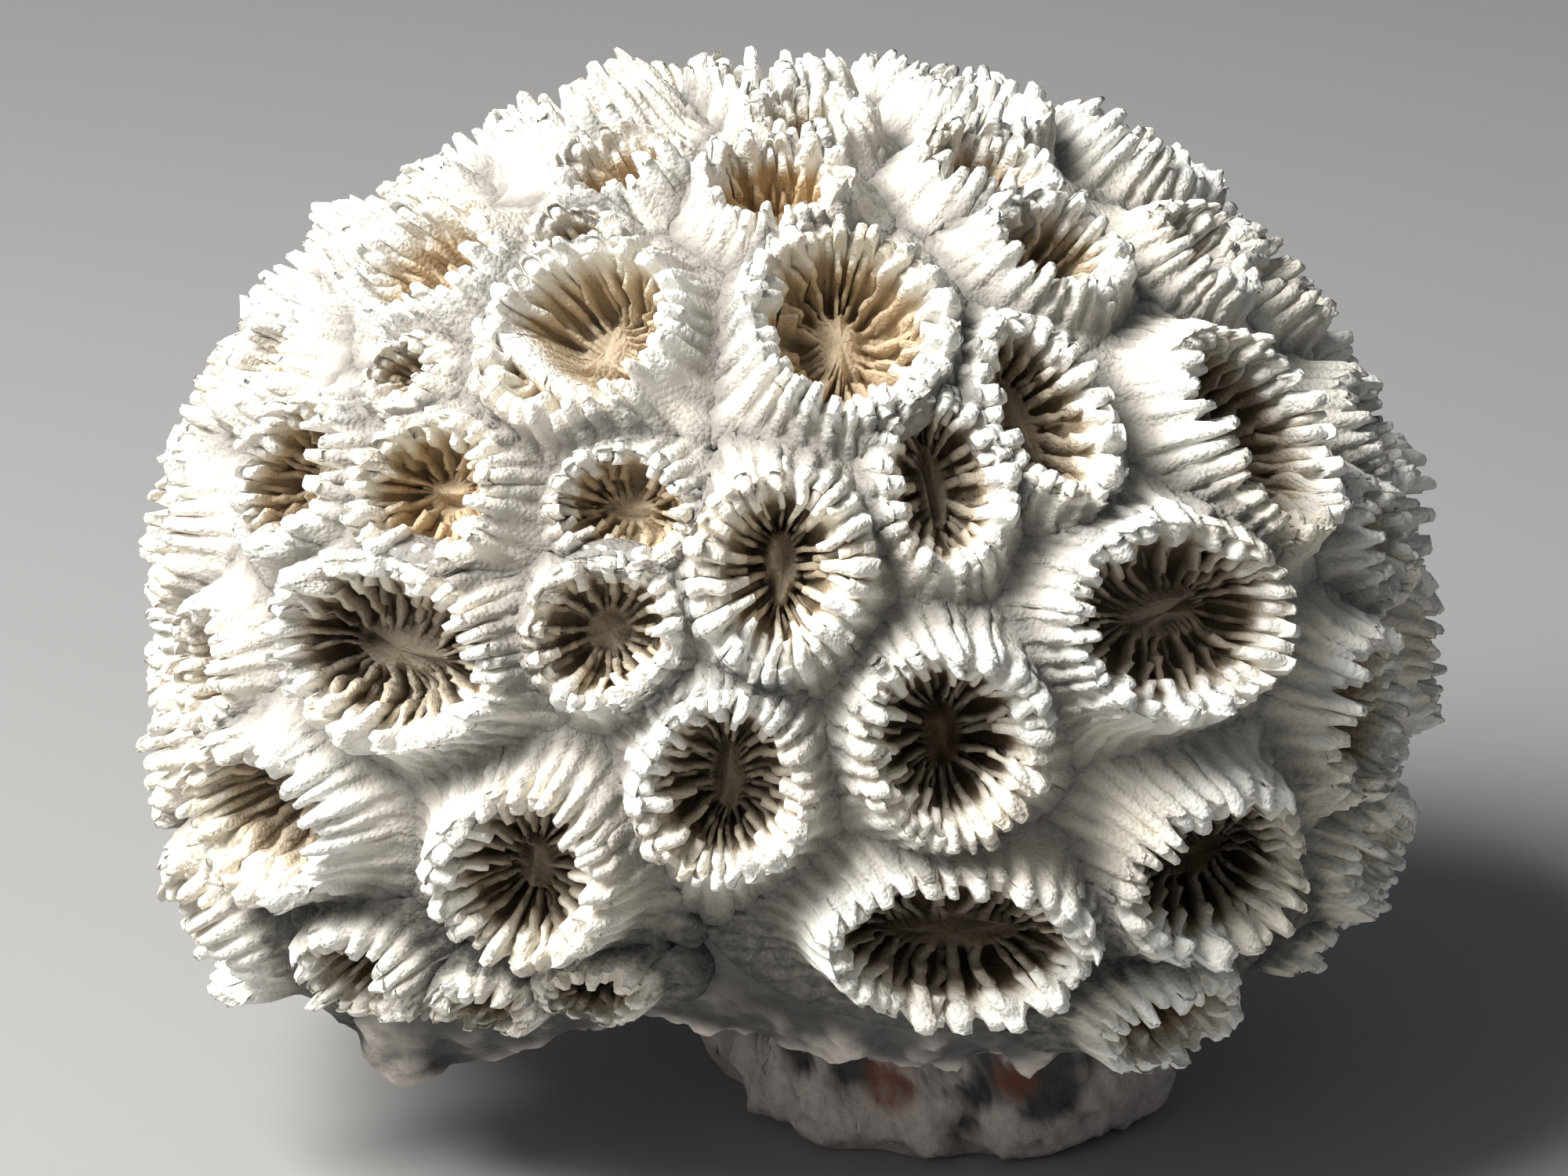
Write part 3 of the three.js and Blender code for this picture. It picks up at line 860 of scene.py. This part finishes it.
def cup_finish():
    """Bleached skeleton: warm white edges with some painted highlight on the crowns, cream sides, tan to
    brown pits partly darkened as painted shade, grey-lilac grooves partly painted shade, and painted shade on
    the low flanks.
    """
    finish, wire, shader = start_finish("bleached_cups")
    tree = finish.node_tree
    place = wire.node("ShaderNodeTexCoord", {}, {}, "Object")
    pit = wire.mark("pit")
    edge = wire.mark("edge")
    ochre = wire.mark("ochre")
    cloud = wire.noise(place, 5.0)
    speck = wire.noise(place, 0.35)
    white = (0.88, 0.87, 0.82, 1)
    ivory = (0.84, 0.78, 0.65, 1)
    cream = (0.74, 0.70, 0.61, 1)
    lilac = (0.18, 0.169, 0.16, 1)
    flank_shade_colour = (0.032, 0.03, 0.027, 1)
    tan = (0.56, 0.42, 0.25, 1)
    olive = (0.25, 0.19, 0.11, 1)
    brown = (0.085, 0.058, 0.031, 1)
    # Crowns whiter than the sides: partly real bleaching, partly painted highlight where light falls on the
    # tops.
    base = wire.mix(wire.mark("crown") * 0.9 + 0.1, cream, wire.mix(cloud.step(0.42, 0.7), white, ivory))
    # Grey-lilac in the grooves: partly the grooves' own tint, partly painted shade in the crease between
    # cups.
    base = wire.mix(wire.mark("groove") * (0.55 + speck * 0.5), base, lilac)
    # Painted shade: near black on the low flanks of the lower cups.
    base = wire.mix(wire.mark("low_flank_shade") * (0.6 + speck * 0.5), base, flank_shade_colour)
    warm = pit.step(0.1, 0.55) * (0.3 + ochre * 0.7) * (0.6 + speck * 0.6)
    base = wire.mix(warm, base, tan)
    # Olive between the blades down the pit: partly stain, partly painted shade in the narrow gaps.
    slot_stain_and_shade = wire.mark("slot_stain_and_shade").step(0.3, 1.0) * pit.step(0.15, 0.6) * (0.9 - ochre * 0.6)
    base = wire.mix(slot_stain_and_shade, base, olive)
    # Brown with depth, less on blade edges and in stained pits: partly real staining, partly painted shade.
    deep_stain_and_shade = pit.step(0.3, 0.85) * (1 - edge * (0.35 + ochre * 0.4)) * (1 - ochre * 0.95)
    base = wire.mix(deep_stain_and_shade, base, brown)
    tree.links.new(base.socket, shader.inputs["Base Color"])
    grains = wire.node("ShaderNodeTexVoronoi", {}, {"Vector": place, "Scale": 1 / (0.16 * MM)}, "Distance")
    height = wire.noise(place, 0.1, 2.0) * 0.6 + wire.noise(place, 0.5) * 0.8 - grains * 0.8
    bump = wire.node("ShaderNodeBump", {}, {"Strength": 0.6, "Distance": 0.12 * MM, "Height": height})
    tree.links.new(bump.socket, shader.inputs["Normal"])
    shader.inputs["Roughness"].default_value = 0.82
    shader.inputs["Specular IOR Level"].default_value = 0.35
    return finish


# One piece for each fifth of the head's girth, from the front round by the right, and one for its crown.
GIRTH_SECTORS = 5
CROWN_LATITUDE = 52
SECTORS = ["cups_front", "cups_right", "cups_back_right", "cups_back_left", "cups_left", "cups_crown"]
longitudes = np.degrees(np.arctan2(axes[:, 0], -axes[:, 1]))
sectors = np.round(longitudes / (360 / GIRTH_SECTORS)).astype(int) % GIRTH_SECTORS
sectors[np.degrees(np.arcsin(axes[:, 2])) > CROWN_LATITUDE] = GIRTH_SECTORS
bleached = cup_finish()
for number, name in enumerate(SECTORS):
    cups = join_cups(name, np.flatnonzero(sectors == number))
    cups.data.materials.append(bleached)
    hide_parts("coral_head")
    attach(cups, "root")

# Floor, lights and camera. A plain pale paper floor, a large soft light from the upper left and a weak one
# from the front, and a long-lens camera close by that looks down on the head as the photograph does.
FLOOR_HALF = 2.0
VIEW_DISTANCE = 210.0
IMAGE_WIDTH, IMAGE_HEIGHT = 2000, 1500
PIXELS_PER_MM = 41.4
CENTRE_PIXEL = (1018, 702)
SENSOR = 36.0

floor_mesh = bpy.data.meshes.new("floor")
floor_corners = [(FLOOR_HALF * x, FLOOR_HALF * y, 0) for x, y in [(-1, -1), (1, -1), (1, 1), (-1, 1)]]
floor_mesh.from_pydata(floor_corners, [], [(0, 1, 2, 3)])
floor = bpy.data.objects.new("floor", floor_mesh)
bpy.context.scene.collection.objects.link(floor)
paper, _, paper_shader = start_finish("pale_paper")
paper_shader.inputs["Base Color"].default_value = (0.38, 0.376, 0.37, 1)
paper_shader.inputs["Roughness"].default_value = 0.9
floor_mesh.materials.append(paper)


def soft_light(name, place, width, power, colour):
    """A square area light at a place in mm, turned to the growth centre."""
    lamp = bpy.data.lights.new(name, "AREA")
    lamp.size = width * MM
    lamp.energy = power
    lamp.color = colour
    light = bpy.data.objects.new(name, lamp)
    offset = (np.array(place) - GROWTH_CENTRE) * MM
    light.location = np.array(place) * MM
    tilt = math.acos(offset[2] / np.linalg.norm(offset))
    light.rotation_euler = (tilt, 0, math.atan2(offset[0], -offset[1]))
    bpy.context.scene.collection.objects.link(light)


soft_light("window_light", place=(-155, -95, 230), width=150, power=1.55, colour=(1.0, 0.985, 0.965))
soft_light("room_light", place=(-220, -240, 130), width=200, power=0.12, colour=(1.0, 0.97, 0.93))
world = bpy.data.worlds.new("room")
world.use_nodes = True
background = world.node_tree.nodes["Background"]
background.inputs["Color"].default_value = (0.85, 0.9, 1.0, 1)
background.inputs["Strength"].default_value = 0.12
bpy.context.scene.world = world
bpy.context.scene.view_settings.view_transform = "Standard"

lens = bpy.data.cameras.new("camera")
lens.sensor_fit = "HORIZONTAL"
lens.sensor_width = SENSOR
lens.lens = PIXELS_PER_MM * VIEW_DISTANCE * SENSOR / IMAGE_WIDTH
lens.clip_start = 0.01
ahead = np.array([0, math.cos(VIEW_DROP), -math.sin(VIEW_DROP)])
upright = np.array([0, math.sin(VIEW_DROP), math.cos(VIEW_DROP)])
aside = (CENTRE_PIXEL[0] - IMAGE_WIDTH / 2) / PIXELS_PER_MM
above = (IMAGE_HEIGHT / 2 - CENTRE_PIXEL[1]) / PIXELS_PER_MM
camera = bpy.data.objects.new("camera", lens)
camera_place = GROWTH_CENTRE - VIEW_DISTANCE * ahead - above * upright
camera_place[0] -= aside
camera.location = camera_place * MM
camera.rotation_euler = (math.pi / 2 - VIEW_DROP, 0, 0)
bpy.context.scene.collection.objects.link(camera)
bpy.context.scene.camera = camera
